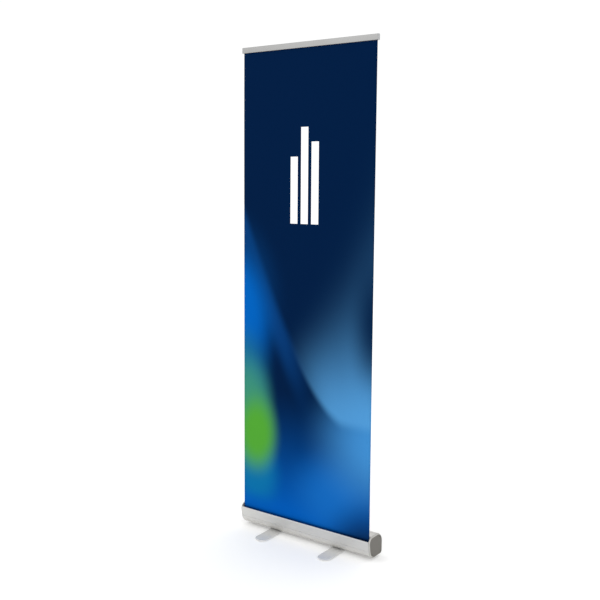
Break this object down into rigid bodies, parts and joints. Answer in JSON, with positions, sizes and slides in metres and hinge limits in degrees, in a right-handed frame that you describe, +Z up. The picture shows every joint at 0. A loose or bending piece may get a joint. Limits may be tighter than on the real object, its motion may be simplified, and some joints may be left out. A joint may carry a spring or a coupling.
{
  "type": "roll-up banner stand",
  "caption": "Retractable banner stand: spring-roller floor cassette, printed sheet, top rail, telescoping rear pole and swing-out feet.",
  "frame": {"origin": "on the floor, midway along the cassette, below the line through the two foot pivots", "axes": "+Z up, X along the cassette, the printed face looks along -Y"},
  "size_m": [0.6166, 0.272, 1.9301],
  "materials": {
    "anodised_aluminium": "satin anodised",
    "brushed_aluminium": "brushed lengthwise",
    "zinc_steel": "zinc plated",
    "black_steel": "black oxide",
    "spring_steel": "oiled spring wire",
    "grey_plastic": "fine-grained moulding",
    "black_plastic": "moulded",
    "pale_plastic": "moulded",
    "rubber": "matt",
    "clear_film": "clear polyester film",
    "printed_film": "printed, satin laminate"
  },
  "bodies": {
    "cassette": {"cassette_shell": "anodised_aluminium", "end_cap_left": "grey_plastic", "end_cap_right": "grey_plastic", "cap_screw_left_1": "black_steel", "cap_screw_left_2": "black_steel", "cap_screw_left_3": "black_steel", "cap_screw_right_1": "black_steel", "cap_screw_right_2": "black_steel", "cap_screw_right_3": "black_steel", "spring_axle": "zinc_steel", "stub_axle": "zinc_steel", "torsion_spring": "spring_steel", "leader_strip": "clear_film", "pole_socket": "black_plastic", "socket_screw_left": "zinc_steel", "socket_screw_right": "zinc_steel", "pole_lower": "brushed_aluminium", "pivot_bolt_left": "zinc_steel", "pivot_bolt_right": "zinc_steel", "spacer_left": "black_plastic", "spacer_right": "black_plastic", "lock_nut_left": "zinc_steel", "lock_nut_right": "zinc_steel"},
    "roller": {"roller_tube": "brushed_aluminium", "leader_wraps": "clear_film", "roller_plug_left": "black_plastic", "roller_plug_right": "black_plastic", "spring_anchor": "black_plastic"},
    "rail": {"top_rail": "anodised_aluminium", "rail_cap_left": "pale_plastic", "rail_cap_right": "pale_plastic", "clamp_bar": "black_plastic", "pole_cup": "black_plastic", "cup_screw_left": "zinc_steel", "cup_screw_right": "zinc_steel", "pole_upper": "brushed_aluminium", "pole_tip": "black_plastic", "graphic_sheet": "printed_film"},
    "pole_mid": {"pole_middle": "brushed_aluminium"},
    "lock_low": {"collar_lower": "black_plastic"},
    "lock_high": {"collar_upper": "black_plastic"},
    "left_foot": {"foot_left": "brushed_aluminium", "pad_left_front": "rubber", "pad_left_back": "rubber"},
    "right_foot": {"foot_right": "brushed_aluminium", "pad_right_front": "rubber", "pad_right_back": "rubber"}
  },
  "joints": [
    {"name": "rail_slide", "type": "slide", "parent": "cassette", "child": "rail", "axis": [0, 0, 1], "range_m": [-1.1, 0], "deforming": ["graphic_sheet"]},
    {"name": "pole_middle_slide", "type": "slide", "parent": "cassette", "child": "pole_mid", "axis": [0, 0, 1], "range_m": [-0.56, 0]},
    {"name": "roller_spin", "type": "hinge", "parent": "cassette", "child": "roller", "pos_m": [0, 0.018, 0.0456], "axis": [1, 0, 0], "range_deg": [0, 4200]},
    {"name": "lock_low_twist", "type": "hinge", "parent": "cassette", "child": "lock_low", "pos_m": [0, -0.012, 0.7], "axis": [0, 0, 1], "range_deg": [0, 120]},
    {"name": "lock_high_twist", "type": "hinge", "parent": "pole_mid", "child": "lock_high", "pos_m": [0, -0.012, 1.3], "axis": [0, 0, 1], "range_deg": [0, 120]},
    {"name": "foot_left_swing", "type": "hinge", "parent": "cassette", "child": "left_foot", "pos_m": [-0.15, 0, 0.005], "axis": [0, 0, 1], "range_deg": [0, 90]},
    {"name": "foot_right_swing", "type": "hinge", "parent": "cassette", "child": "right_foot", "pos_m": [0.15, 0, 0.005], "axis": [0, 0, 1], "range_deg": [-90, 0]}
  ],
  "couplings": [
    {"joint": "pole_middle_slide", "follows": "rail_slide", "ratio": 0.5},
    {"joint": "roller_spin", "follows": "rail_slide", "rad_per_m": -64.5}
  ]
}
